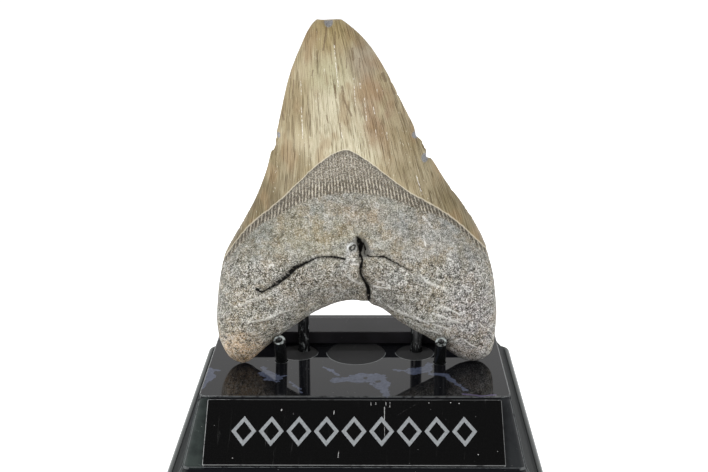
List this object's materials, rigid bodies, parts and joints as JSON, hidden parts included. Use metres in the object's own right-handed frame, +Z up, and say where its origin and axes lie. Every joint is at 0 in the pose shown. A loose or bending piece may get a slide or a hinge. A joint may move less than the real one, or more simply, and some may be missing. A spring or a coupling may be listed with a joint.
{
  "type": "megalodon tooth on display stand",
  "caption": "Large triangular fossil shark tooth with a two-lobed root, resting upright between pegs on a black stand with a slanted plate.",
  "frame": {"origin": "middle of the stand's underside, on the surface that it stands on", "axes": "+Z up; the nameplate and the tooth's domed inner face look towards -Y; +X is to the right for a viewer in front"},
  "size_m": [0.1454, 0.142, 0.1694],
  "materials": {
    "fossil": "satin enamel over a matte, grainy root",
    "marbled_black": "polished black with blue-grey marble veins",
    "bar_black": "polished black",
    "plate_black": "gloss black, finely scratched",
    "peg_black": "gloss black"
  },
  "bodies": {
    "root": {"tooth": "fossil", "base": "marbled_black", "rear_bar": "bar_black", "nameplate": "plate_black", "peg_front_left": "peg_black", "peg_front_right": "peg_black", "peg_rear_left": "peg_black", "peg_rear_right": "peg_black"}
  },
  "joints": []
}
